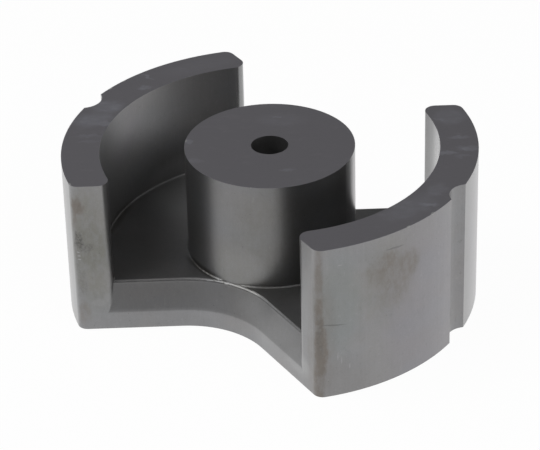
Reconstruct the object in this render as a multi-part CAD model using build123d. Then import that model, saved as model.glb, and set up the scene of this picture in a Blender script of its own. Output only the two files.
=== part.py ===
from build123d import *
import os
from math import atan2, cos, degrees, radians, sin, tan

# One half of a PM core in the standard 62/49 size, pressed and sintered as a single piece. Millimetres.
# It stands on its back face with the winding space open upwards. X runs through both legs, the wire
# openings face -Y and +Y, and the origin is where the hole's axis meets the back face.
outer_diameter = 61.0
winding_diameter = 49.8
post_diameter = 25.0
hole_diameter = 5.5
half_height = 24.4
plate_thickness = 7.6

# Wire openings: a round nose towards the post, then two straight sides that run out past the legs' ends.
# The waist margin is the plate left between the post's wall and the nose, at the back face.
waist_margin = 1.4
nose_radius = 13.2
side_angle = 30.0

# Legs: roundings of the upright corners, depth of the groove down each outer wall and edge break round the
# outline of the back face, as shares of the leg's thickness.
leg_outer_corner_share = 0.27
leg_inner_corner_share = 0.285
groove_depth_share = 0.223
back_edge_break_share = 0.011
groove_radius = 2.95

# Plate edge in the openings: upright below, then leaning back to a rounded rim at the floor.
upright_band_share = 0.35
band_lean_angle = 13.0
band_blend_radius = 5.0
rim_radius = 0.45

# Hollow roundings where the post and the legs rise from the floor.
post_foot_radius = 0.25
leg_foot_radius = 0.28

# Distance by which a cutting shape runs past the face it has to reach.
overrun = 2.0
# Largest difference at which two sizes count as the same when an edge is picked.
match_tolerance = 0.001
# The front and the left side repeat the rear and the right side, turned about the hole's axis.
half_turn = 180.0
quarter_turn = 90.0

outer_radius = outer_diameter / 2
winding_radius = winding_diameter / 2
post_radius = post_diameter / 2
hole_radius = hole_diameter / 2

leg_thickness = outer_radius - winding_radius
leg_outer_corner_radius = leg_thickness * leg_outer_corner_share
leg_inner_corner_radius = leg_thickness * leg_inner_corner_share
back_edge_break = leg_thickness * back_edge_break_share
groove_centre_x = outer_radius - leg_thickness * groove_depth_share + groove_radius

side_direction = (cos(radians(side_angle)), sin(radians(side_angle)))
nose_tip_y = post_radius + waist_margin
nose_centre_y = nose_tip_y + nose_radius
side_start_x = nose_radius * side_direction[1]
side_start_y = nose_centre_y - nose_radius * side_direction[0]
side_length = outer_radius + overrun

lean = radians(band_lean_angle)
lean_direction = (sin(lean), cos(lean))
upright_band_height = plate_thickness * upright_band_share
rim_corner_inset = (plate_thickness - upright_band_height) * tan(lean)
rim_tangent_length = rim_radius * tan(radians(quarter_turn - band_lean_angle) / 2)
blend_tangent_length = band_blend_radius * tan(lean / 2)


def opening_plan():
    """Outline of the rear wire opening, from its nose out past the legs."""
    side_end_x = side_start_x + side_length * side_direction[0]
    side_end_y = side_start_y + side_length * side_direction[1]
    far_y = side_end_y + outer_radius
    right = [(side_start_x, side_start_y), (side_end_x, side_end_y), (side_end_x, far_y)]
    left = [(-x, y) for x, y in reversed(right)]
    nose = ThreePointArc(left[-1], (0, nose_tip_y), right[0])
    return make_face([nose, Polyline(*right, *left)])


def both_openings():
    """Outlines of the rear and the front opening."""
    rear = opening_plan()
    return [rear, rear.rotate(Axis.Z, half_turn)]


def at_radius(plan, radius):
    """Corners of a plan that lie on a circle about the hole's axis."""
    return [v for v in plan.vertices() if abs((v.X ** 2 + v.Y ** 2) ** 0.5 - radius) < match_tolerance]


def along_band(x, y, length):
    """Point at a distance from another, measured up the leaning band."""
    return (x + length * lean_direction[0], y + length * lean_direction[1])


def plate_edge_section():
    """Space in front of the plate's edge: x is the distance into the plate, y is the height."""
    low = upright_band_height - blend_tangent_length
    top = plate_thickness + overrun
    blend_end = along_band(0, upright_band_height, blend_tangent_length)
    rim_start = along_band(rim_corner_inset, plate_thickness, -rim_tangent_length)
    rim_end = (rim_corner_inset + rim_tangent_length, plate_thickness)
    blend = TangentArc((0, low), blend_end, tangent=(0, 1))
    band = Line(blend_end, rim_start)
    rim = TangentArc(rim_start, rim_end, tangent=lean_direction)
    outside = Polyline(rim_end, (rim_end[0], top), (-overrun, top), (-overrun, low), (0, low))
    return make_face([blend, band, rim, outside])


def plate_edge_space():
    """Solid in front of the rear plate edge: it turns round the nose and runs along both straight sides."""
    nose_axis = Axis((0, nose_centre_y, 0), (0, 0, 1))
    at_nose = Plane(origin=(0, nose_tip_y, 0), x_dir=(0, -1, 0), z_dir=(-1, 0, 0)) * plate_edge_section()
    right = at_nose.rotate(nose_axis, side_angle)
    left = at_nose.rotate(nose_axis, -side_angle)
    turn = revolve(left, axis=nose_axis, revolution_arc=2 * side_angle)
    right_run = extrude(right, amount=side_length, dir=(side_direction[0], side_direction[1], 0))
    left_run = extrude(left, amount=side_length, dir=(-side_direction[0], side_direction[1], 0))
    return turn + right_run + left_run


def foot_curve(wall_radius, foot_radius, side):
    """Hollow rounding between the floor and a round wall; side is 1 outside the wall and -1 inside it."""
    on_floor = (wall_radius + side * foot_radius, plate_thickness)
    on_wall = (wall_radius, plate_thickness + foot_radius)
    return TangentArc(on_floor, on_wall, tangent=(-side, 0))


def round_foot(wall_radius, foot_radius):
    """Disc that rounds the foot of a round post or corner standing on the floor."""
    outer = wall_radius + foot_radius
    low = plate_thickness / 2
    high = plate_thickness + foot_radius
    rest = Polyline((wall_radius, high), (0, high), (0, low), (outer, low), (outer, plate_thickness))
    section = make_face([foot_curve(wall_radius, foot_radius, 1), rest])
    return revolve(Plane.XZ * section, axis=Axis.Z)


def wall_foot(half_angle):
    """Strip that rounds the foot of the +X leg's inner wall, between the leg's rounded corners."""
    inner = winding_radius - leg_foot_radius
    outer = winding_radius + leg_thickness / 2
    low = plate_thickness / 2
    high = plate_thickness + leg_foot_radius
    back = [(winding_radius, high), (outer, high), (outer, low), (inner, low), (inner, plate_thickness)]
    section = make_face([foot_curve(winding_radius, leg_foot_radius, -1), Polyline(*back)])
    start = (Plane.XZ * section).rotate(Axis.Z, -half_angle)
    return revolve(start, axis=Axis.Z, revolution_arc=2 * half_angle)


def leg_foot():
    """Rounding along the foot of the +X leg: its inner wall and its two inner corners."""
    arcs = leg_plan().edges().filter_by(GeomType.CIRCLE)
    centres = [e.arc_center for e in arcs if abs(e.radius - leg_inner_corner_radius) < match_tolerance]
    corner = round_foot(leg_inner_corner_radius, leg_foot_radius)
    half_angle = max(degrees(atan2(c.Y, c.X)) for c in centres)
    return wall_foot(half_angle) + [Pos(c.X, c.Y) * corner for c in centres]


def leg_plan():
    """Outline of the +X leg with its upright corners rounded."""
    ring = Circle(outer_radius) - Circle(winding_radius) - both_openings()
    plan = Sketch() + ring.faces().sort_by(Axis.X)[-1]
    plan = fillet(at_radius(plan, outer_radius), leg_outer_corner_radius)
    return fillet(at_radius(plan, winding_radius), leg_inner_corner_radius)


def plate():
    """Back plate with the rounded feet on its floor, and the leaning, rounded edges of both openings."""
    plan = Circle(outer_radius) - both_openings()
    plan = fillet(at_radius(plan, outer_radius), leg_outer_corner_radius)
    feet = leg_foot()
    solid = extrude(plan, amount=plate_thickness) + feet + feet.rotate(Axis.Z, half_turn)
    solid += round_foot(post_radius, post_foot_radius)
    space = plate_edge_space()
    return solid - space - space.rotate(Axis.Z, half_turn)


def through(radius, x):
    """Upright round cutter that runs past the pole faces and the back face."""
    return Pos(x, 0, half_height / 2) * Cylinder(radius, half_height + 2 * overrun)


def core_half():
    """The whole piece: plate, two legs and the bored post in one solid."""
    leg = extrude(leg_plan(), amount=half_height)
    post = extrude(Circle(post_radius), amount=half_height)
    shape = plate() + leg + leg.rotate(Axis.Z, half_turn) + post
    shape -= through(hole_radius, 0)
    shape -= through(groove_radius, groove_centre_x)
    shape -= through(groove_radius, -groove_centre_x)
    back_face = shape.faces().sort_by(Axis.Z)[0]
    return chamfer(back_face.outer_wire().edges(), back_edge_break)


os.makedirs("parts", exist_ok=True)
export_step(core_half(), "parts/core_half.step")
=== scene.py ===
"""Ferrite core half: finish of the pressed, sintered and ground piece, and the studio stage it stands on."""
import math

import bpy
from bpy.props import FloatProperty, FloatVectorProperty, PointerProperty
from mathutils import Matrix, Vector


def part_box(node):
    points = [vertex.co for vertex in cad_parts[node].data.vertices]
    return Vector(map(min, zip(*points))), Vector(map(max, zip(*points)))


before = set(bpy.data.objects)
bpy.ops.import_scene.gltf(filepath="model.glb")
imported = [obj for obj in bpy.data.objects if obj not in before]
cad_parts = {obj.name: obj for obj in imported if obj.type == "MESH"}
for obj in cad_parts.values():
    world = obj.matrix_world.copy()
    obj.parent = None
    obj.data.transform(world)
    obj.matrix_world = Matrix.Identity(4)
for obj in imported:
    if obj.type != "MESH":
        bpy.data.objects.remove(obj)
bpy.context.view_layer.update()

bl_info = {
    "name": "Ferrite Core Half",
    "version": (1, 0, 0),
    "blender": (4, 5, 0),
    "location": "View3D > Sidebar > Ferrite Core",
    "description": "Finishes one half of a ferrite core and sets it on a studio stage",
    "category": "Object",
}

PIECE = "core_half"
MILLIMETRE = 0.001
core_low, core_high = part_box(PIECE)

# Camera: angles in degrees, distance and aim off the piece's middle in metres, focal length in pixels.
VIEW_AZIMUTH = 29.227
VIEW_ELEVATION = 31.326
VIEW_ROLL = -1.531
VIEW_DISTANCE = 0.391895
AIM_RIGHT = -0.000224
AIM_UP = -0.001293
FOCAL_PIXELS = 2637.401
PICTURE_WIDTH = 540
SENSOR_WIDTH = 36.0
CLIP_START = 0.01
CLIP_END = 20.0

# Lamps: the setting of its level, its angle from the view and its height above the horizon in degrees, and
# the width and height of its face in metres. They all hang at one distance from the piece.
LAMPS = {
    "left_lamp": ("left_level", -78.0, 50.0, 0.42, 0.42),
    "right_lamp": ("right_level", 45.0, 45.0, 0.40, 0.25),
    "low_right_lamp": ("low_right_level", 65.0, 8.0, 0.30, 0.17),
    "overhead_lamp": ("overhead_level", 0.0, 90.0, 0.30, 0.30),
}
LAMP_DISTANCE = 0.6

# Floor: half its side, the length over which it darkens and the tone that it darkens to, and the share of it
# that is plain white to the camera and in reflections.
FLOOR_HALF = 1.5
FLOOR_FADE = 0.12
FLOOR_FAR_TONE = 0.5
FLOOR_WHITE_SHARE = 0.97

# The room's pale horizon ends between two heights, and between two places from behind to in front.
HORIZON_TOP = (0.12, 0.26)
HORIZON_FRONT = (-0.5, 0.1)

# Upright walls in millimetres: radii, the end faces' distance from the hole's axis and angle to the line
# through both legs, and the rounding of the legs' inner corners.
OUTER_RADIUS = 30.5
WINDING_RADIUS = 24.9
POST_RADIUS = 12.5
HOLE_RADIUS = 2.75
END_FACE_OFFSET = 10.269
END_FACE_ANGLE = math.radians(30.0)
CORNER_RADIUS = 1.596
# Way along an end face, from the hole's axis, at which the leg's rounded inner corner starts.
CORNER_START = math.sqrt((WINDING_RADIUS + CORNER_RADIUS) ** 2 - (END_FACE_OFFSET - CORNER_RADIUS) ** 2)
# Heights in millimetres between which the plate's upright foot and its leaning band end.
FOOT_TOP = (2.5, 3.1)
BAND_TOP = (6.9, 7.4)
# Millimetres over which burnish ends: away from an end face and into its inner corner. Then the radii between
# which a leg's outer wall takes it on.
END_FACE_FADE = (0.1, 0.7)
CORNER_FADE = (-0.25, -0.05)
OUTER_WALL_FADE = (WINDING_RADIUS + 2.5, OUTER_RADIUS - 1.5)
# Distance from the hole's axis over which the floor's marks end, at the legs' inner walls.
FLOOR_END = (WINDING_RADIUS + 0.2, WINDING_RADIUS + 1.0)

# Pressed skin: depth of its features in millimetres, its base tone, and what each feature adds or takes.
GRAIN_DEPTH = 0.0030
STREAK_DEPTH = 0.0050
PIT_DEPTH = 0.012
SKIN_TONE = 0.76
GRAIN_TONE = 0.24
STREAK_TONE = 0.10
CLOUD_TONE = 0.14
WISP_TONE = 0.08
PIT_TONE = 0.25
# Noise between which pale and dark wisps and the tint swing over, share of the cells that have no pit, and
# half widths of a pit's floor and mouth in cells.
PALE_WISPS = (0.58, 0.74)
DARK_WISPS = (0.26, 0.42)
TINT_RANGE = (0.35, 0.65)
PITLESS = (0.72, 0.78)
PIT_WIDTH = (0.05, 0.10)
# Features of the skin in a millimetre, along each axis where they are longer one way than another.
PITS = 0.9
CLOUDS = 0.30
STREAK_RISE = 0.06
TINTS = (0.11, 0.11, 0.16)
WISPS = (1.7, 1.7, 1.2)
# Share by which the tint swings to warm and to cool.
TINT_SWING = 0.01

# Ground pole faces: features in a millimetre, reach of the smudges' ragged rims and depth of the grinding
# marks in millimetres, what marks and grain add to the tone, and the depth below the top where they end.
GRINDING_MARKS = (0.25, 6.0, 1.0)
SMUDGE_CLOUDS = (0.35, 0.60, 1.0)
SMUDGE_FRAYS = (0.8, 0.8, 0.8)
SMUDGE_REACH = (2.0, 2.0, 0.0)
GROUND_GRAIN = 3.0
GRINDING_DEPTH = 0.0015
GRINDING_TONE = 0.06
GROUND_GRAIN_TONE = 0.08
FACE_DROP = (0.03, 0.01)
# Noise between which a smudge and the faces' tone swing over, and the strengths that they swing between.
SMUDGE_RANGE = (0.35, 0.65)
SMUDGE_STRENGTH = (0.5, 1.1)
CLOUD_RANGE = (0.56, 0.74)
CLOUD_STRENGTH = (0.92, 1.02)

# Edges of the pole faces: chips in a millimetre, noise between which a chip reaches its depth, and width of
# a chip's rim and of the rubbed edge in millimetres.
EDGE_CHIPS = 1.3
EDGE_CHIP_RANGE = (0.64, 0.80)
CHIP_RIM = 0.05
RUB_WIDTH = (0.03, 0.16)

# Marks of handling: features in a millimetre, and reach of their ragged rims in millimetres.
FRAYS = (0.9, 0.9, 0.4)
LOOSE_REACH = (1.6, 1.6, 2.4)
TIGHT_REACH = (0.2, 0.2, 0.25)
SPECKLES = 2.6
MOTTLES = (1.2, 1.2, 0.7)
# Noise between which a mark swings over, and the strengths that it swings between.
MOTTLE_RANGE = (0.34, 0.66)
BROWN_STRENGTH = (0.60, 1.35)
OLIVE_STRENGTH = (0.65, 1.35)
SPECKLE_RANGE = (0.4, 0.6)
DARK_STRENGTH = (0.45, 1.45)
# Share of the way in from a mark's skin over which it fades.
PATCH_RIM = 0.6

# Ferrite: metal share of its surfaces, what each adds to or takes off the roughness, tones of scratches and
# rubbed edges, bump of chips and scratches in millimetres, and its glassy coat.
WALL_METAL = 0.88
# Metal share of the matt patches that paint light and shade.
MATT_PAINTED_LIGHT_AND_SHADE_METAL = 0.60
GROUND_METAL = 0.55
CHIP_METAL = 0.45
CHIP_ROUGHNESS = 0.6
TONE_ROUGHNESS = 0.20
INSIDE_ROUGHNESS = 0.10
BROWN_ROUGHNESS = 0.08
DARK_ROUGHNESS = 0.10
GLAZE_SMOOTHNESS = 0.18
SCRATCH_TONE = 0.72
RUB_TONE = 1.06
CHIP_BUMP = 0.06
SCRATCH_BUMP = 0.02
COAT_WEIGHT = 0.6
COAT_ROUGHNESS = 0.3

# Marks on the piece: centre in millimetres, turn about the upright axis and lean in degrees, half lengths in
# millimetres along the mark, across it (on a wall, through the wall) and upwards, and strength.
BROWN_RUNS = {
    "wash at the right leg's near corner": ((19.6, -23.1, 10.0), 41, 0, (3.6, 2.4, 14.0), 0.30),
    "run at the right leg's near corner, top": ((20.0, -23.0, 17.0), 41, 0, (0.9, 1.4, 12.0), 0.60),
    "run at the right leg's near corner, middle": ((19.95, -23.05, 12.5), 41, 0, (1.0, 1.4, 8.0), 0.95),
    "run at the right leg's near corner, low": ((20.05, -22.95, 8.0), 41, 0, (1.6, 1.4, 6.5), 1.30),
    "run at the right leg's near corner, foot": ((19.6, -23.25, 2.5), 41, 0, (1.6, 1.6, 6.5), 0.75),
    "right leg's end, along its corner": ((18.4, -22.5, 6.0), -30, 0, (1.6, 1.2, 8.0), 0.32),
}
BROWN_SMEARS = {
    "right leg, upper right": ((28.1, -11.8, 18.4), 67, 0, (3.0, 2.0, 2.8), 0.58),
    "right leg, middle": ((26.6, -15.0, 17.0), 61, 0, (2.8, 2.0, 2.6), 0.50),
    "right leg, upper left": ((26.7, -14.8, 19.6), 61, 0, (3.0, 2.0, 2.6), 0.62),
    "right leg, left": ((25.7, -16.4, 18.6), 58, 0, (2.6, 2.0, 3.0), 0.42),
    "right leg, lower right": ((27.6, -13.0, 15.9), 65, 0, (2.8, 2.0, 2.6), 0.40),
    "right leg, lower": ((26.9, -14.4, 14.2), 62, 0, (3.0, 2.0, 2.6), 0.25),
    "left leg's end, foot": ((-19.1, -22.9, 2.9), 30, 0, (1.5, 0.9, 2.8), 0.40),
    "left leg's end, top": ((-19.2, -22.95, 20.9), 30, 0, (1.5, 0.9, 2.3), 1.10),
    "left leg's end, edge below the top": ((-19.6, -23.15, 19.0), 30, 0, (0.7, 0.9, 3.0), 0.55),
}
DARK_MARKS = {
    "left leg's end, edge": ((-19.6, -23.2, 12.0), 30, 0, (0.8, 0.9, 10.0), 0.20),
    "left leg's end, middle": ((-19.3, -23.0, 15.1), 30, 0, (1.2, 0.9, 1.9), 0.72),
    "left leg's end, specks": ((-18.3, -22.45, 14.0), 30, 0, (1.6, 0.9, 1.2), 0.42),
    "left leg's end, lower": ((-19.0, -22.8, 8.3), 30, 0, (0.9, 0.9, 2.8), 0.22),
    "run at the right leg's near corner": ((19.95, -23.0, 10.5), 41, 0, (0.7, 1.0, 5.5), 0.30),
    "inside the right groove": ((30.0, 1.9, 15.3), 90, 0, (0.5, 0.8, 0.4), 0.30),
}
# Painted shade: soft dark washes on the legs' end faces, the leaning band, the feet of the front opening and
# the right leg, the right groove, and over the highlights of the foot lines at the left leg's near inner wall
# and the post's left side.
PAINTED_SHADE_WASHES = {
    "left leg's end": ((-17.2, -21.8, 14.5), 30, 0, (4.0, 2.0, 6.0), 0.10),
    "leaning band, left": ((-11.0, -17.9, 5.0), 30, 0, (11.0, 3.5, 3.2), 0.12),
    "foot of the front opening, left": ((-10.5, -18.0, 1.2), 30, 0, (10.0, 3.5, 2.6), 0.12),
    "right leg's end": ((17.5, -22.0, 12.0), -30, 0, (3.0, 2.0, 14.0), 0.13),
    "foot of the right leg": ((22.5, -20.6, 2.5), 47, 0, (6.0, 3.0, 5.0), 0.12),
    "right groove": ((29.3, 0.0, 12.0), 90, 0, (4.0, 2.0, 16.0), 0.07),
    "foot of the left leg's inner wall, near": ((-24.5, -4.6, 7.75), 101, 0, (9.5, 1.8, 1.0), 1.0),
    "foot of the post, left": ((-5.9, -11.0, 7.75), -28, 0, (5.5, 0.9, 0.8), 1.0),
}
# Painted shade on the floor's near left.
FLOOR_PAINTED_SHADE = {
    "near left": ((-19.0, -13.0, 7.6), 29, 0, (13.0, 9.0, 2.0), 0.34),
}
# Painted light: a pale patch that brightens the floor's far left.
FLOOR_PAINTED_LIGHT = {
    "far left": ((-20.5, 9.5, 8.0), -61, 0, (14.0, 8.0, 4.0), 1.0),
}
GLAZE = {
    "right leg's inner wall, far": ((22.4, 10.9, 16.0), 116, 0, (9.5, 2.5, 20.0), 1.15),
    "left leg's far end": ((-15.6, 20.7, 16.0), 0, 0, (3.0, 3.0, 18.0), 1.1),
    "right of the post": ((10.8, 6.2, 20.0), 120, 0, (8.0, 3.0, 16.0), 0.65),
}
# Painted light and shade through the metal share: a matt patch that brightens the floor's far left, and one
# that dims the highlight of the left leg's near foot line.
MATT_PAINTED_LIGHT_AND_SHADE = {
    "floor, far left": ((-20.5, 9.5, 8.0), -61, 0, (16.0, 9.0, 4.5), 1.0),
    "foot of the left leg's inner wall, near": ((-24.5, -4.6, 7.75), 101, 0, (9.5, 1.8, 1.0), 1.0),
}
# Pale flecks on the legs' ends and the right leg, and painted light: pale patches that brighten the left
# leg's far foot line, far end and near inner wall, the right leg's far inner wall, the right side and end of
# the front opening and the post's low front.
PALE_FLECKS_AND_PAINTED_LIGHT = {
    "foot of the left leg's end, left": ((-17.1, -21.7, 4.6), 30, 0, (1.5, 0.8, 0.9), 0.25),
    "foot of the left leg's end, right": ((-16.1, -21.2, 5.4), 30, 0, (0.7, 0.8, 1.2), 0.25),
    "left leg's end, upper fleck": ((-19.4, -23.06, 13.35), 30, 0, (0.40, 0.5, 0.16), 1.0),
    "left leg's end, middle fleck": ((-19.3, -23.0, 12.75), 30, 0, (0.40, 0.5, 0.16), 1.0),
    "left leg's end, lower fleck": ((-19.3, -23.0, 12.15), 30, 0, (0.40, 0.5, 0.16), 1.0),
    "left leg's inner wall, far foot": ((-23.3, 8.8, 7.75), 70, 0, (6.5, 1.3, 0.6), 1.3),
    "right leg's inner wall, far": ((18.5, 16.7, 16.0), 133, 0, (6.0, 2.0, 12.0), 1.0),
    "left leg's inner wall, near": ((-24.7, -2.5, 21.5), 90, 0, (6.0, 2.0, 5.5), 0.40),
    "left leg's far end": ((-15.6, 20.7, 16.0), 0, 0, (3.0, 3.0, 20.0), 1.0),
    "right side of the front opening": ((8.2, -16.6, 5.3), -30, 0, (10.0, 3.8, 3.9), 0.95),
    "right end of the front opening": ((14.8, -20.3, 3.4), -30, 0, (5.0, 2.5, 2.6), 0.9),
    "front of the post, low": ((1.0, -12.4, 10.5), 5, 0, (5.5, 2.5, 4.5), 0.45),
    "fleck low on the right leg, left": ((21.9, -21.2, 6.5), 46, 0, (0.14, 0.5, 0.7), 0.7),
    "fleck low on the right leg, middle": ((22.3, -20.8, 5.8), 47, 0, (0.14, 0.5, 0.8), 0.7),
    "fleck low on the right leg, right": ((23.1, -19.9, 4.6), 49, 0, (0.16, 0.5, 0.6), 0.7),
    "fleck high on the right leg": ((22.2, -20.9, 21.6), 47, 0, (0.40, 0.5, 0.14), 0.7),
}
OLIVE_FILMS = {
    "left leg's end": ((-17.8, -22.2, 14.5), 30, 0, (4.6, 3.0, 14.0), 0.60),
    "left leg's end, middle": ((-17.8, -22.2, 14.5), 30, 0, (4.0, 3.0, 6.5), 0.85),
    "front of the post": ((6.0, -10.9, 13.0), 29, 0, (9.0, 5.0, 16.0), 0.36),
    "front of the post, low": ((1.0, -12.4, 10.5), 5, 0, (6.0, 3.0, 5.0), 0.60),
    "right leg's smear": ((26.6, -14.9, 17.0), 61, 0, (7.0, 3.0, 9.0), 0.36),
}
TEAL_FILMS = {
    "right leg, by its near corner": ((22.1, -21.0, 15.0), 46, 0, (4.4, 3.0, 11.0), 0.8),
    "foot of the left leg": ((-17.0, -21.6, 4.5), 30, 0, (3.5, 2.0, 4.5), 0.2),
}
VIOLET_FILMS = {
    "right leg, by the groove": ((29.4, -7.0, 10.0), 77, 0, (14.0, 3.0, 20.0), 0.9),
    "right leg, beyond the groove": ((28.8, 9.0, 14.0), 107, 0, (8.0, 3.0, 16.0), 0.9),
    "right leg's inner wall, far": ((18.5, 16.7, 16.0), 133, 0, (8.0, 2.0, 14.0), 1.0),
    "left leg's inner wall, near": ((-24.7, -2.0, 21.0), 90, 0, (8.0, 2.0, 7.0), 0.8),
}
SMUDGES = {
    "left leg, by the inner edge": ((-25.2, -5.2, 24.4), 29, 0, (1.4, 1.2, 1.0), 0.8),
    "left leg, upper streak": ((-25.2, -9.4, 24.4), 29, 0, (3.0, 0.6, 1.0), 0.5),
    "left leg, lower streak": ((-24.5, -10.8, 24.4), 29, 0, (2.6, 0.5, 1.0), 0.4),
    "left leg, middle": ((-27.2, -5.0, 24.4), 60, 0, (3.8, 2.8, 1.0), 0.75),
    "left leg, by the groove": ((-27.4, -0.6, 24.4), 40, 0, (3.2, 2.6, 1.0), 0.80),
    "left leg, behind the groove": ((-25.4, 7.1, 24.4), 40, 0, (1.5, 0.9, 1.0), 0.9),
    "left leg, outer edge": ((-26.8, 10.3, 24.4), -20, 0, (1.6, 0.4, 1.0), 0.9),
    "left leg, far": ((-21.6, 16.8, 24.4), 52, 0, (8.0, 2.6, 1.0), 0.15),
    "right leg, far inner edge": ((19.0, 17.9, 24.4), 10, 0, (1.2, 0.6, 1.0), 0.8),
    "right leg, far end": ((20.0, 19.3, 24.4), -45, 0, (3.0, 3.0, 1.0), 0.55),
    "right leg, far streak": ((23.7, 14.2, 24.4), 29, 0, (1.9, 0.6, 1.0), 0.6),
    "right leg, by the outer edge": ((26.5, 11.9, 24.4), 20, 0, (2.2, 1.1, 1.0), 0.85),
    "right leg, middle streak": ((24.4, 9.4, 24.4), 25, 0, (1.7, 0.8, 1.0), 0.85),
    "right leg, middle right": ((26.6, 9.5, 24.4), 29, 0, (1.4, 0.6, 1.0), 0.6),
    "right leg, by the groove": ((27.4, -0.8, 24.4), 80, 0, (2.6, 1.8, 1.0), 0.50),
    "right leg, near the groove": ((28.1, -5.2, 24.4), 20, 0, (1.8, 0.6, 1.0), 0.8),
    "right leg, wide": ((26.0, -7.0, 24.4), 70, 0, (6.0, 3.0, 1.0), 0.45),
    "post, left edge": ((-11.2, -4.5, 24.4), 29, 0, (1.0, 1.0, 1.0), 0.8),
    "post, left front": ((-7.4, -8.8, 24.4), 29, 0, (1.4, 1.0, 1.0), 0.35),
    "post, behind the hole": ((-3.0, 7.9, 24.4), 29, 0, (1.3, 0.4, 1.0), 0.9),
    "post, far": ((-2.0, 7.5, 24.4), 29, 0, (5.0, 2.6, 1.0), 0.22),
    "post, in front of the hole": ((5.8, -5.1, 24.4), 29, 0, (1.6, 0.6, 1.0), 0.65),
}
CHIPS = {
    "left leg's outer edge, near": ((-30.1, 4.6, 24.4), 98, 0, (0.5, 0.5, 0.5), 1.0),
    "left leg's outer edge, far": ((-29.5, 7.6, 24.4), 104, 0, (0.4, 0.4, 0.4), 1.0),
    "left leg's near corner": ((-20.3, -22.6, 24.4), 30, 0, (0.5, 0.5, 0.5), 0.9),
    "right leg's outer edge, by the groove": ((29.7, -6.9, 24.4), 77, 0, (0.5, 0.5, 0.5), 0.9),
    "right leg's outer edge, middle": ((28.2, -11.6, 24.4), 68, 0, (0.4, 0.4, 0.4), 0.8),
    "post's edge, left": ((-11.7, -4.4, 24.4), 69, 0, (0.5, 0.5, 0.5), 0.9),
}
SCRATCHES = {
    "near the top of the right leg": ((27.1, -13.9, 21.9), 63, 4, (2.2, 0.5, 0.22), 0.9),
    "beside the right leg's corner": ((21.5, -21.6, 12.0), 45, 8, (2.5, 0.5, 0.17), 0.9),
    "low on the right leg": ((29.4, -8.2, 3.1), 75, 0, (0.12, 0.5, 0.5), 0.5),
}


class FerriteFinish(bpy.types.PropertyGroup):
    """Colours and surface of the ferrite."""

    skin_colour: FloatVectorProperty(
        name="Skin Colour", description="Colour of the walls as they left the kiln",
        subtype="COLOR", size=3, min=0.0, max=1.0, default=(0.234, 0.2325, 0.236))
    ground_colour: FloatVectorProperty(
        name="Ground Colour", description="Colour of the ground pole faces",
        subtype="COLOR", size=3, min=0.0, max=1.0, default=(0.187, 0.181, 0.199))
    smudge_colour: FloatVectorProperty(
        name="Smudge Colour", description="Colour of the paler smudges on the ground pole faces",
        subtype="COLOR", size=3, min=0.0, max=1.0, default=(0.275, 0.277, 0.313))
    chip_colour: FloatVectorProperty(
        name="Chip Colour", description="Colour of fresh breaks along the ground edges",
        subtype="COLOR", size=3, min=0.0, max=1.0, default=(0.34, 0.34, 0.34))
    brown_colour: FloatVectorProperty(
        name="Brown Stain", description="Colour that the brown stains bring the skin to",
        subtype="COLOR", size=3, min=0.0, max=1.0, default=(0.168, 0.150, 0.133))
    # Colour of the dark stains, and of the painted shade in the dark washes.
    dark_stain_and_shade_colour: FloatVectorProperty(
        name="Dark Stain And Painted Shade", description="Colour that the dark stains and painted shade bring the skin to",
        subtype="COLOR", size=3, min=0.0, max=1.0, default=(0.100, 0.096, 0.091))
    # Colour of the pale flecks, and of the painted light on the floor and walls.
    pale_fleck_and_light_colour: FloatVectorProperty(
        name="Pale Flecks And Painted Light", description="Colour of the pale flecks and of painted light",
        subtype="COLOR", size=3, min=0.0, max=1.0, default=(0.295, 0.295, 0.297))
    olive_film: FloatVectorProperty(
        name="Olive Film", description="Tint of the thin olive film on some walls",
        subtype="COLOR", size=3, min=0.0, max=1.0, default=(0.790, 0.782, 0.690))
    teal_film: FloatVectorProperty(
        name="Teal Film", description="Tint of the thin blue-green film on some walls",
        subtype="COLOR", size=3, min=0.0, max=1.0, default=(0.900, 0.955, 0.935))
    violet_film: FloatVectorProperty(
        name="Violet Film", description="Tint of the thin violet film on some walls",
        subtype="COLOR", size=3, min=0.0, max=1.0, default=(0.980, 0.958, 1.0))
    skin_roughness: FloatProperty(
        name="Skin Roughness", description="Roughness of the walls as they left the kiln",
        subtype="FACTOR", min=0.0, max=1.0, default=0.31)
    ground_roughness: FloatProperty(
        name="Ground Roughness", description="Roughness of the ground pole faces",
        subtype="FACTOR", min=0.0, max=1.0, default=0.48)
    # Painted shade: darker tone of the walls inside the winding space.
    inside_shade_tone: FloatProperty(
        name="Inside Painted Shade", description="Painted shade: tone of the walls inside the winding space, against the outer walls, end faces and plate's foot",
        subtype="FACTOR", min=0.0, max=1.0, default=0.83)
    # Painted shade: darker tone of the openings' leaning band.
    band_shade_tone: FloatProperty(
        name="Band Painted Shade", description="Tone of the openings' leaning band, against other inside walls",
        subtype="FACTOR", min=0.0, max=1.0, default=0.815)
    grain_size: FloatProperty(
        name="Grain Size", description="Width of the finest grain on the skin",
        unit="LENGTH", min=0.00002, max=0.002, precision=5, default=0.00016)
    streak_width: FloatProperty(
        name="Streak Width", description="Width of the upright streaks that the pressing die leaves",
        unit="LENGTH", min=0.00005, max=0.005, precision=5, default=0.0004)
    chip_depth: FloatProperty(
        name="Chip Depth", description="Reach of the deepest chips in from the ground edges",
        unit="LENGTH", min=0.0, max=0.002, precision=5, default=0.00035)
    grinding_angle: FloatProperty(
        name="Grinding Angle", description="Direction of the grinding marks, from the line through both legs",
        subtype="ANGLE", default=math.radians(29.0))


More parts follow.
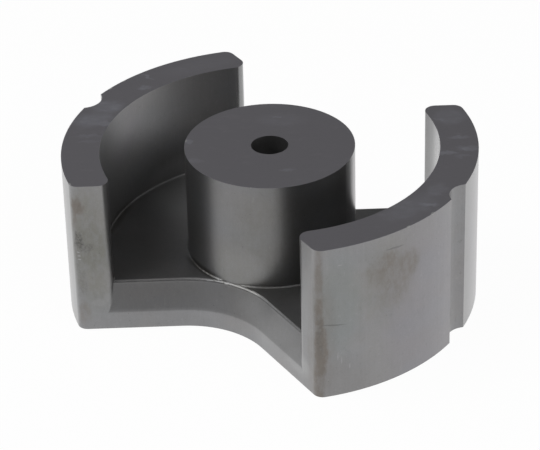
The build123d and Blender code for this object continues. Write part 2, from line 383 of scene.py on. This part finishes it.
class StudioStage(bpy.types.PropertyGroup):
    """Floor, lamps and room."""

    floor_colour: FloatVectorProperty(
        name="Floor Colour", description="Colour of the pale floor",
        subtype="COLOR", size=3, min=0.0, max=1.0, default=(0.92, 0.92, 0.92))
    floor_edge: FloatProperty(
        name="Floor Edge", description="Distance in front of the piece at which the floor begins to darken",
        unit="LENGTH", min=0.0, max=2.0, default=0.090)
    left_level: FloatProperty(
        name="Left Lamp", description="Brightness of the left lamp's face, where 1 is white",
        min=0.0, max=20.0, default=3.4)
    right_level: FloatProperty(
        name="Right Lamp", description="Brightness of the right lamp's face, where 1 is white",
        min=0.0, max=20.0, default=2.4)
    low_right_level: FloatProperty(
        name="Low Right Lamp", description="Brightness of the low right lamp's face, where 1 is white",
        min=0.0, max=20.0, default=2.6)
    overhead_level: FloatProperty(
        name="Overhead Lamp", description="Brightness of the overhead lamp's face, where 1 is white",
        min=0.0, max=20.0, default=0.45)
    room_level: FloatProperty(
        name="Room", description="Brightness of the room above the horizon, where 1 is white",
        min=0.0, max=5.0, default=0.12)
    horizon_level: FloatProperty(
        name="Horizon", description="Brightness of the horizon at the sides and behind, where 1 is white",
        min=0.0, max=5.0, default=0.9)


def node(tree, kind, inputs=None, **settings):
    """Adds a node with its settings. A socket given for an input is linked, any other value is set on it."""
    made = tree.nodes.new(kind)
    for name, value in settings.items():
        setattr(made, name, value)
    for key, value in (inputs or {}).items():
        if isinstance(value, bpy.types.NodeSocket):
            tree.links.new(value, made.inputs[key])
        else:
            made.inputs[key].default_value = value
    return made


def calc(tree, operation, *values):
    """Result of a sum of plain numbers, such as ADD or MULTIPLY."""
    return node(tree, "ShaderNodeMath", dict(enumerate(values)), operation=operation).outputs["Value"]


def weighted(tree, base, *terms):
    """A base plus several values, each times its weight."""
    total = base
    for value, weight in terms:
        total = calc(tree, "MULTIPLY_ADD", value, weight, total)
    return total


def vector(tree, operation, *values):
    """Outputs of a sum of vectors, such as MULTIPLY or LENGTH."""
    return node(tree, "ShaderNodeVectorMath", dict(enumerate(values)), operation=operation).outputs


def scaled(tree, colour, factor):
    """Colour or point made larger or smaller by a factor."""
    made = node(tree, "ShaderNodeVectorMath", {0: colour, "Scale": factor}, operation="SCALE")
    return made.outputs["Vector"]


def span(tree, value, low, high, start=0.0, end=1.0):
    """Smooth step of a value from start at low to end at high, held level outside."""
    inputs = {"Value": value, "From Min": low, "From Max": high, "To Min": start, "To Max": end}
    return node(tree, "ShaderNodeMapRange", inputs, interpolation_type="SMOOTHSTEP").outputs["Result"]


def noise(tree, point, scale=1.0, detail=2.0, roughness=0.5):
    """Cloudy noise from 0 to 1, with a number of features per unit of the point."""
    inputs = {"Vector": point, "Scale": scale, "Detail": detail, "Roughness": roughness}
    return node(tree, "ShaderNodeTexNoise", inputs).outputs["Fac"]


def stretched(tree, point, scale, turn=0.0):
    """Point turned about the upright axis, then scaled along each axis."""
    turned = node(tree, "ShaderNodeVectorRotate", {"Vector": point, "Angle": -turn}, rotation_type="Z_AXIS")
    return vector(tree, "MULTIPLY", turned.outputs["Vector"], scale)["Vector"]


def blend(tree, share, first, second, blend_type="MIX"):
    """Colour between two colours, or the first tinted by the second."""
    # The node has a pair of inputs for each kind of value, all with the same names, so they go by number.
    inputs = {0: share, 6: first, 7: second}
    return node(tree, "ShaderNodeMix", inputs, data_type="RGBA", blend_type=blend_type).outputs[2]


def between(tree, share, first, second):
    """Number between two numbers."""
    return node(tree, "ShaderNodeMix", {0: share, 2: first, 3: second}).outputs[0]


def new_group(name, outputs):
    """Empty shader node group that takes a point in millimetres. Returns its tree, the point and the end."""
    tree = bpy.data.node_groups.new(name, "ShaderNodeTree")
    tree.interface.new_socket("Point", in_out="INPUT", socket_type="NodeSocketVector")
    for label in outputs:
        tree.interface.new_socket(label, in_out="OUTPUT", socket_type="NodeSocketFloat")
    point = tree.nodes.new("NodeGroupInput").outputs["Point"]
    return tree, point, tree.nodes.new("NodeGroupOutput")


def finish_group(tree, end, results):
    """Links the results to the group's outputs."""
    for label, socket in results.items():
        tree.links.new(socket, end.inputs[label])
    return tree


def patches(tree, point, marks):
    """Strongest of several soft ellipsoids: each is strong near its centre and fades out to its skin."""
    total = None
    for name, (centre, turn, lean, size, strength) in marks.items():
        rotation = (0.0, math.radians(lean), math.radians(turn))
        inputs = {"Vector": point, "Location": centre, "Rotation": rotation, "Scale": size}
        inside = node(tree, "ShaderNodeMapping", inputs, vector_type="TEXTURE", label=name).outputs["Vector"]
        ball = node(tree, "ShaderNodeTexGradient", {"Vector": inside}, gradient_type="SPHERICAL")
        patch = span(tree, ball.outputs["Fac"], 0.0, PATCH_RIM, end=strength)
        total = patch if total is None else calc(tree, "MAXIMUM", total, patch)
    return total


def frayed(tree, point, scale, reach):
    """Point shifted to and fro by noise, so that a patch read from it has a ragged rim."""
    inputs = {"Vector": stretched(tree, point, scale), "Scale": 1.0, "Detail": 4.0}
    cloud = node(tree, "ShaderNodeTexNoise", inputs).outputs["Color"]
    shift = vector(tree, "SUBTRACT", cloud, (0.5, 0.5, 0.5))["Vector"]
    return vector(tree, "MULTIPLY_ADD", shift, reach, point)["Vector"]


def from_axis(tree, point):
    """Distance of a point from the hole's axis."""
    flat = vector(tree, "MULTIPLY", point, (1.0, 1.0, 0.0))["Vector"]
    return vector(tree, "LENGTH", flat)["Value"]


def pressed_skin(finish):
    """Skin of the pressed and sintered walls: fine grain, a few pits, upright die streaks and cloudy tone."""
    tree, point, end = new_group("pressed_skin", ("Height", "Tone", "Tint"))
    grain = noise(tree, point, scale=MILLIMETRE / finish.grain_size, detail=3.0, roughness=0.6)
    fine = MILLIMETRE / finish.streak_width
    streak = noise(tree, stretched(tree, point, (fine, fine, STREAK_RISE)), detail=3.0, roughness=0.65)
    cells = node(tree, "ShaderNodeTexVoronoi", {"Vector": point, "Scale": PITS}).outputs
    lot = node(tree, "ShaderNodeSeparateColor", {0: cells["Color"]}).outputs[0]
    hollow = span(tree, cells["Distance"], *PIT_WIDTH, start=1.0, end=0.0)
    pit = calc(tree, "MULTIPLY", hollow, span(tree, lot, *PITLESS))
    cloud = noise(tree, point, scale=CLOUDS, detail=4.0, roughness=0.62)
    tint = noise(tree, stretched(tree, point, TINTS), detail=2.0, roughness=0.5)
    wisp = noise(tree, stretched(tree, point, WISPS), detail=3.0, roughness=0.6)
    pale_wisp = span(tree, wisp, *PALE_WISPS)
    dark_wisp = span(tree, wisp, *DARK_WISPS, start=1.0, end=0.0)
    height = weighted(tree, 0.0, (grain, GRAIN_DEPTH), (streak, STREAK_DEPTH), (pit, -PIT_DEPTH))
    tone = weighted(tree, SKIN_TONE, (grain, GRAIN_TONE), (streak, STREAK_TONE), (cloud, CLOUD_TONE),
                    (pale_wisp, WISP_TONE), (dark_wisp, -WISP_TONE), (pit, -PIT_TONE))
    return finish_group(tree, end, {"Height": height, "Tone": tone, "Tint": span(tree, tint, *TINT_RANGE)})


def ground_face(finish):
    """Ground pole faces: their mask, fine straight marks and paler smudges along them."""
    tree, point, end = new_group("ground_face", ("Mask", "Height", "Tone", "Smudge"))
    up = node(tree, "ShaderNodeSeparateXYZ", {0: point}).outputs["Z"]
    top = core_high.z / MILLIMETRE
    mask = span(tree, up, top - FACE_DROP[0], top - FACE_DROP[1])
    along = stretched(tree, point, GRINDING_MARKS, finish.grinding_angle)
    marks = noise(tree, along, detail=3.0, roughness=0.6)
    along = stretched(tree, point, SMUDGE_CLOUDS, finish.grinding_angle)
    cloud = noise(tree, along, detail=4.0, roughness=0.65)
    smudge = patches(tree, frayed(tree, point, SMUDGE_FRAYS, SMUDGE_REACH), SMUDGES)
    smudge = calc(tree, "MULTIPLY", smudge, span(tree, cloud, *SMUDGE_RANGE, *SMUDGE_STRENGTH))
    grain = noise(tree, point, scale=GROUND_GRAIN, detail=3.0, roughness=0.7)
    tone = span(tree, cloud, *CLOUD_RANGE, *CLOUD_STRENGTH)
    tone = weighted(tree, tone, (marks, GRINDING_TONE), (grain, GROUND_GRAIN_TONE))
    height = calc(tree, "MULTIPLY", marks, GRINDING_DEPTH)
    return finish_group(tree, end, {"Mask": mask, "Height": height, "Tone": tone, "Smudge": smudge})


def walls_and_edges(finish):
    """Where a point lies on the piece: on walls burnished by the die, or at an edge of the ground faces.

    Burnished walls are the outer walls, the legs' end faces and the upright foot of the plate. An edge's
    distance is the drop below the pole faces plus, on them, the way to the nearest wall: the outer and inner
    walls of the legs, the post, the hole and the legs' end faces. Small chips are broken out of the edges.
    """
    tree, point, end = new_group("walls_and_edges", ("Burnish", "Band", "Chip", "Rub"))
    axes = node(tree, "ShaderNodeSeparateXYZ", {0: point}).outputs
    radius = from_axis(tree, point)
    wide = calc(tree, "ABSOLUTE", axes["X"])
    deep = calc(tree, "ABSOLUTE", axes["Y"])
    sine, cosine = math.sin(END_FACE_ANGLE), math.cos(END_FACE_ANGLE)
    nearest = calc(tree, "ABSOLUTE", weighted(tree, END_FACE_OFFSET, (wide, sine), (deep, -cosine)))
    along = weighted(tree, 0.0, (wide, cosine), (deep, sine))
    sunk = calc(tree, "MULTIPLY", nearest, calc(tree, "SUBTRACT", 2 * CORNER_RADIUS, nearest))
    corner = calc(tree, "SUBTRACT", CORNER_START, calc(tree, "SQRT", calc(tree, "MAXIMUM", sunk, 0.0)))
    past_corner = span(tree, calc(tree, "SUBTRACT", along, corner), *CORNER_FADE)
    burnish = calc(tree, "MULTIPLY", span(tree, nearest, *END_FACE_FADE, start=1.0, end=0.0), past_corner)
    outer_wall = span(tree, radius, *OUTER_WALL_FADE)
    foot = span(tree, axes["Z"], *FOOT_TOP, start=1.0, end=0.0)
    burnish = calc(tree, "MAXIMUM", calc(tree, "MAXIMUM", burnish, outer_wall), foot)
    below_rim = span(tree, axes["Z"], *BAND_TOP, start=1.0, end=0.0)
    band = calc(tree, "MULTIPLY", span(tree, burnish, 0.0, 1.0, start=1.0, end=0.0), below_rim)
    for wall in (OUTER_RADIUS, WINDING_RADIUS, POST_RADIUS, HOLE_RADIUS):
        way = calc(tree, "ABSOLUTE", calc(tree, "SUBTRACT", radius, wall))
        nearest = calc(tree, "MINIMUM", nearest, way)
    drop = calc(tree, "SUBTRACT", core_high.z / MILLIMETRE, axes["Z"])
    away = calc(tree, "ADD", drop, nearest)
    depth = finish.chip_depth / MILLIMETRE
    broken = noise(tree, point, scale=EDGE_CHIPS, detail=3.0, roughness=0.7)
    reach = span(tree, broken, *EDGE_CHIP_RANGE, end=depth)
    reach = calc(tree, "MAXIMUM", reach, calc(tree, "MULTIPLY", patches(tree, point, CHIPS), depth))
    chip = span(tree, calc(tree, "SUBTRACT", reach, away), 0.0, CHIP_RIM)
    rub = span(tree, away, *RUB_WIDTH, start=1.0, end=0.0)
    # Burnish also sets where the inside walls take painted shade, and Band where the leaning band does.
    return finish_group(tree, end, {"Burnish": burnish, "Band": band, "Chip": chip, "Rub": rub})


def handling_marks():
    """Stains, flecks and scratches from handling, and patches of painted shade and painted light, each in its
    place on the piece and ragged at its rim.
    """
    tree, point, end = new_group("handling_marks", (
        "Brown", "Dark", "Matt painted light and shade", "Glaze", "Pale", "Olive", "Teal", "Violet", "Scratch"))
    loose = frayed(tree, point, FRAYS, LOOSE_REACH)
    tight = frayed(tree, point, FRAYS, TIGHT_REACH)
    speckle = noise(tree, point, scale=SPECKLES, detail=3.0, roughness=0.7)
    mottle = noise(tree, stretched(tree, point, MOTTLES), detail=4.0, roughness=0.65)
    inside = span(tree, from_axis(tree, point), *FLOOR_END, start=1.0, end=0.0)
    brown = calc(tree, "MAXIMUM", patches(tree, tight, BROWN_RUNS), patches(tree, loose, BROWN_SMEARS))
    brown = calc(tree, "MULTIPLY", brown, span(tree, mottle, *MOTTLE_RANGE, *BROWN_STRENGTH))
    dark = span(tree, speckle, *SPECKLE_RANGE, *DARK_STRENGTH)
    dark = calc(tree, "MULTIPLY", patches(tree, loose, DARK_MARKS), dark)
    # Painted shade: the dark washes on the walls, and on the floor's near left.
    dark = calc(tree, "MAXIMUM", dark, patches(tree, tight, PAINTED_SHADE_WASHES))
    dark = calc(tree, "MAXIMUM", dark, calc(tree, "MULTIPLY", patches(tree, tight, FLOOR_PAINTED_SHADE), inside))
    # Painted light: pale patches on the floor's far left and on some walls, together with the pale flecks.
    pale = calc(tree, "MULTIPLY", patches(tree, tight, FLOOR_PAINTED_LIGHT), inside)
    pale = calc(tree, "MAXIMUM", pale, patches(tree, tight, PALE_FLECKS_AND_PAINTED_LIGHT))
    olive = span(tree, mottle, *MOTTLE_RANGE, *OLIVE_STRENGTH)
    return finish_group(tree, end, {
        "Brown": brown,
        "Dark": dark,
        "Matt painted light and shade": calc(tree, "MULTIPLY", patches(tree, tight, MATT_PAINTED_LIGHT_AND_SHADE), inside),
        "Glaze": patches(tree, tight, GLAZE),
        "Pale": pale,
        "Olive": calc(tree, "MULTIPLY", patches(tree, loose, OLIVE_FILMS), olive),
        "Teal": patches(tree, loose, TEAL_FILMS),
        "Violet": patches(tree, loose, VIOLET_FILMS),
        "Scratch": patches(tree, tight, SCRATCHES),
    })


def clear_tree(owner):
    """Switches a material or world to nodes and returns its emptied tree."""
    owner.use_nodes = True
    owner.node_tree.nodes.clear()
    return owner.node_tree


def use_group(tree, group, point):
    """Places a group in a tree, fed with the point, and returns its outputs."""
    made = node(tree, "ShaderNodeGroup", node_tree=group)
    tree.links.new(point, made.inputs["Point"])
    return made.outputs


def opaque(colour):
    """Colour with its alpha, as a node's input takes it."""
    return (*colour, 1.0)


def wall_colour(tree, finish, skin, edge, marks):
    """Colour of the walls: tinted skin under films, stains, painted shade and painted light, in the tone of
    its place on the piece, which paints shade inside the winding space and on the leaning band.
    """
    red, green, blue = finish.skin_colour
    cool = (red * (1.0 - TINT_SWING), green, blue * (1.0 + TINT_SWING))
    warm = (red * (1.0 + TINT_SWING), green, blue * (1.0 - TINT_SWING))
    colour = blend(tree, skin["Tint"], opaque(cool), opaque(warm))
    films = {"Olive": finish.olive_film, "Teal": finish.teal_film, "Violet": finish.violet_film}
    for film, tint in films.items():
        colour = blend(tree, marks[film], colour, opaque(tint), "MULTIPLY")
    # Dark stains with painted shade, brown stains, and pale flecks with painted light.
    stains = {"Brown": finish.brown_colour, "Dark": finish.dark_stain_and_shade_colour, "Pale": finish.pale_fleck_and_light_colour}
    for stain, stained in stains.items():
        colour = blend(tree, marks[stain], colour, opaque(stained))
    # Painted shade: walls inside the winding space and the leaning band are toned darker.
    tones = (
        span(tree, edge["Burnish"], 0.0, 1.0, start=finish.inside_shade_tone, end=1.0),
        span(tree, edge["Band"], 0.0, 1.0, start=1.0, end=finish.band_shade_tone),
        skin["Tone"],
        span(tree, marks["Scratch"], 0.0, 1.0, start=1.0, end=SCRATCH_TONE),
    )
    for tone in tones:
        colour = scaled(tree, colour, tone)
    return colour


def sintered_ferrite(finish):
    """Material of the whole piece: half-metallic grey, pressed skin on the walls and ground pole faces."""
    material = bpy.data.materials.new("sintered_ferrite")
    tree = clear_tree(material)
    place = node(tree, "ShaderNodeTexCoord").outputs["Object"]
    point = scaled(tree, place, 1.0 / MILLIMETRE)
    skin = use_group(tree, pressed_skin(finish), point)
    ground = use_group(tree, ground_face(finish), point)
    edge = use_group(tree, walls_and_edges(finish), point)
    marks = use_group(tree, handling_marks(), point)

    on_top = blend(tree, ground["Smudge"], opaque(finish.ground_colour), opaque(finish.smudge_colour))
    on_top = scaled(tree, on_top, ground["Tone"])
    colour = blend(tree, ground["Mask"], wall_colour(tree, finish, skin, edge, marks), on_top)
    colour = scaled(tree, colour, span(tree, edge["Rub"], 0.0, 1.0, start=1.0, end=RUB_TONE))
    colour = blend(tree, edge["Chip"], colour, opaque(finish.chip_colour))

    rough = span(tree, edge["Burnish"], 0.0, 1.0, start=INSIDE_ROUGHNESS, end=0.0)
    rough = calc(tree, "ADD", rough, finish.skin_roughness + TONE_ROUGHNESS)
    rough = weighted(tree, rough, (skin["Tone"], -TONE_ROUGHNESS), (marks["Brown"], BROWN_ROUGHNESS),
                     (marks["Dark"], DARK_ROUGHNESS), (marks["Glaze"], -GLAZE_SMOOTHNESS))
    rough = between(tree, ground["Mask"], rough, finish.ground_roughness)
    rough = between(tree, edge["Chip"], rough, CHIP_ROUGHNESS)
    # Painted light and shade: matt patches lower the metal share on the floor's far left and at the left
    # leg's near foot.
    metal = between(tree, marks["Matt painted light and shade"], WALL_METAL, MATT_PAINTED_LIGHT_AND_SHADE_METAL)
    metal = between(tree, ground["Mask"], metal, GROUND_METAL)
    metal = between(tree, edge["Chip"], metal, CHIP_METAL)

    height = between(tree, ground["Mask"], skin["Height"], ground["Height"])
    height = weighted(tree, height, (edge["Chip"], -CHIP_BUMP), (marks["Scratch"], -SCRATCH_BUMP))
    bump = node(tree, "ShaderNodeBump", {"Height": height, "Distance": MILLIMETRE, "Strength": 1.0})
    shader = node(tree, "ShaderNodeBsdfPrincipled", {
        "Base Color": colour,
        "Roughness": rough,
        "Metallic": metal,
        "Normal": bump.outputs["Normal"],
        "Coat Weight": COAT_WEIGHT,
        "Coat Roughness": COAT_ROUGHNESS,
    })
    node(tree, "ShaderNodeOutputMaterial", {"Surface": shader.outputs["BSDF"]})
    return material


class FERRITE_OT_core_half(bpy.types.Operator):
    """Gives the core half its sintered ferrite"""

    bl_idname = "ferrite.core_half"
    bl_label = "Finish Core Half"

    def execute(self, context):
        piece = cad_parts[PIECE]
        piece.data.materials.clear()
        piece.data.materials.append(sintered_ferrite(context.scene.ferrite_finish))
        return {"FINISHED"}


def direction(azimuth, elevation):
    """Unit vector towards a compass angle, 0 in front and 90 on the right, and a height above the horizon."""
    turn, rise = math.radians(azimuth), math.radians(elevation)
    return Vector((math.sin(turn) * math.cos(rise), -math.cos(turn) * math.cos(rise), math.sin(rise)))


def towards_camera(tree, place):
    """How far a place lies towards the camera, over the ground."""
    return vector(tree, "DOT_PRODUCT", place, direction(VIEW_AZIMUTH, 0.0))["Value"]


def floor_material(stage):
    """Pale floor: white to the camera and in reflections, and darker far in front of the piece."""
    material = bpy.data.materials.new("pale_floor")
    tree = clear_tree(material)
    ahead = towards_camera(tree, node(tree, "ShaderNodeTexCoord").outputs["Object"])
    dark_from, dark_at = stage.floor_edge, stage.floor_edge + FLOOR_FADE
    tone = span(tree, ahead, dark_from, dark_at, start=1.0, end=FLOOR_FAR_TONE)
    path = node(tree, "ShaderNodeLightPath").outputs
    seen = calc(tree, "MAXIMUM", path["Is Camera Ray"], path["Is Glossy Ray"])
    seen = calc(tree, "MAXIMUM", seen, path["Is Transmission Ray"])
    matt = node(tree, "ShaderNodeBsdfDiffuse", {"Color": scaled(tree, tuple(stage.floor_colour), tone)})
    white = node(tree, "ShaderNodeEmission", {"Strength": tone})
    mixed = node(tree, "ShaderNodeMixShader", {
        0: calc(tree, "MULTIPLY", seen, FLOOR_WHITE_SHARE),
        1: matt.outputs["BSDF"],
        2: white.outputs["Emission"],
    })
    node(tree, "ShaderNodeOutputMaterial", {"Surface": mixed.outputs["Shader"]})
    return material


def add_floor(stage):
    """Square floor under the piece."""
    half = FLOOR_HALF
    corners = [(-half, -half, 0.0), (half, -half, 0.0), (half, half, 0.0), (-half, half, 0.0)]
    mesh = bpy.data.meshes.new("floor")
    mesh.from_pydata(corners, [], [(0, 1, 2, 3)])
    mesh.materials.append(floor_material(stage))
    floor = bpy.data.objects.new("floor", mesh)
    bpy.context.scene.collection.objects.link(floor)


def add_lamp(name, azimuth, elevation, width, height, level):
    """Soft lamp that faces the piece. Its power gives its face the level, which is power / (pi x area)."""
    data = bpy.data.lights.new(name, "AREA")
    data.shape = "RECTANGLE"
    data.size = width
    data.size_y = height
    data.energy = level * math.pi * width * height
    lamp = bpy.data.objects.new(name, data)
    lamp.location = direction(azimuth, elevation) * LAMP_DISTANCE
    lamp.rotation_euler = (-lamp.location).to_track_quat("-Z", "Y").to_euler()
    bpy.context.scene.collection.objects.link(lamp)


def add_room(stage):
    """Dim room with a pale horizon at the sides and behind."""
    world = bpy.data.worlds.new("studio_room")
    bpy.context.scene.world = world
    tree = clear_tree(world)
    place = node(tree, "ShaderNodeTexCoord").outputs["Generated"]
    up = node(tree, "ShaderNodeSeparateXYZ", {0: place}).outputs["Z"]
    low = span(tree, up, *HORIZON_TOP, start=1.0, end=0.0)
    behind = span(tree, towards_camera(tree, place), *HORIZON_FRONT, start=1.0, end=0.0)
    level = between(tree, calc(tree, "MULTIPLY", low, behind), stage.room_level, stage.horizon_level)
    glow = node(tree, "ShaderNodeBackground", {"Color": (1.0, 1.0, 1.0, 1.0), "Strength": level})
    node(tree, "ShaderNodeOutputWorld", {"Surface": glow.outputs["Background"]})


def add_camera():
    """Camera at the photograph's angle."""
    back = direction(VIEW_AZIMUTH, VIEW_ELEVATION)
    level_right = (-back).cross(Vector((0.0, 0.0, 1.0))).normalized()
    level_up = level_right.cross(-back)
    sine, cosine = math.sin(math.radians(VIEW_ROLL)), math.cos(math.radians(VIEW_ROLL))
    right = cosine * level_right + sine * level_up
    up = cosine * level_up - sine * level_right
    aim = Vector((0.0, 0.0, (core_low.z + core_high.z) / 2)) + AIM_RIGHT * right + AIM_UP * up
    data = bpy.data.cameras.new("camera")
    data.sensor_fit = "HORIZONTAL"
    data.sensor_width = SENSOR_WIDTH
    data.lens = SENSOR_WIDTH * FOCAL_PIXELS / PICTURE_WIDTH
    data.clip_start = CLIP_START
    data.clip_end = CLIP_END
    camera = bpy.data.objects.new("camera", data)
    turn = Matrix((right, up, back)).transposed().to_4x4()
    camera.matrix_world = Matrix.Translation(aim + VIEW_DISTANCE * back) @ turn
    bpy.context.scene.collection.objects.link(camera)
    bpy.context.scene.camera = camera


class FERRITE_OT_studio_stage(bpy.types.Operator):
    """Sets up the floor, the lamps, the room and the camera"""

    bl_idname = "ferrite.studio_stage"
    bl_label = "Set Studio Stage"

    def execute(self, context):
        stage = context.scene.ferrite_stage
        add_floor(stage)
        for name, (setting, turn, rise, width, height) in LAMPS.items():
            add_lamp(name, VIEW_AZIMUTH + turn, rise, width, height, getattr(stage, setting))
        add_room(stage)
        add_camera()
        context.scene.view_settings.view_transform = "Standard"
        return {"FINISHED"}


class FERRITE_PT_core(bpy.types.Panel):
    """Lists the settings and runs the operators"""

    bl_idname = "FERRITE_PT_core"
    bl_label = "Ferrite Core"
    bl_space_type = "VIEW_3D"
    bl_region_type = "UI"
    bl_category = "Ferrite Core"

    def draw(self, context):
        layout = self.layout
        for settings in (context.scene.ferrite_finish, context.scene.ferrite_stage):
            for name in settings.__annotations__:
                layout.prop(settings, name)
        layout.operator(FERRITE_OT_core_half.bl_idname)
        layout.operator(FERRITE_OT_studio_stage.bl_idname)


classes = (FerriteFinish, StudioStage, FERRITE_OT_core_half, FERRITE_OT_studio_stage, FERRITE_PT_core)


def register():
    """Adds the classes and the scene's settings."""
    for cls in classes:
        bpy.utils.register_class(cls)
    bpy.types.Scene.ferrite_finish = PointerProperty(type=FerriteFinish)
    bpy.types.Scene.ferrite_stage = PointerProperty(type=StudioStage)


def unregister():
    """Takes the settings and the classes out again."""
    del bpy.types.Scene.ferrite_stage
    del bpy.types.Scene.ferrite_finish
    for cls in reversed(classes):
        bpy.utils.unregister_class(cls)


def main():
    """Builds the finish and the stage."""
    register()
    bpy.ops.ferrite.core_half()
    bpy.ops.ferrite.studio_stage()


if __name__ == "__main__":
    main()
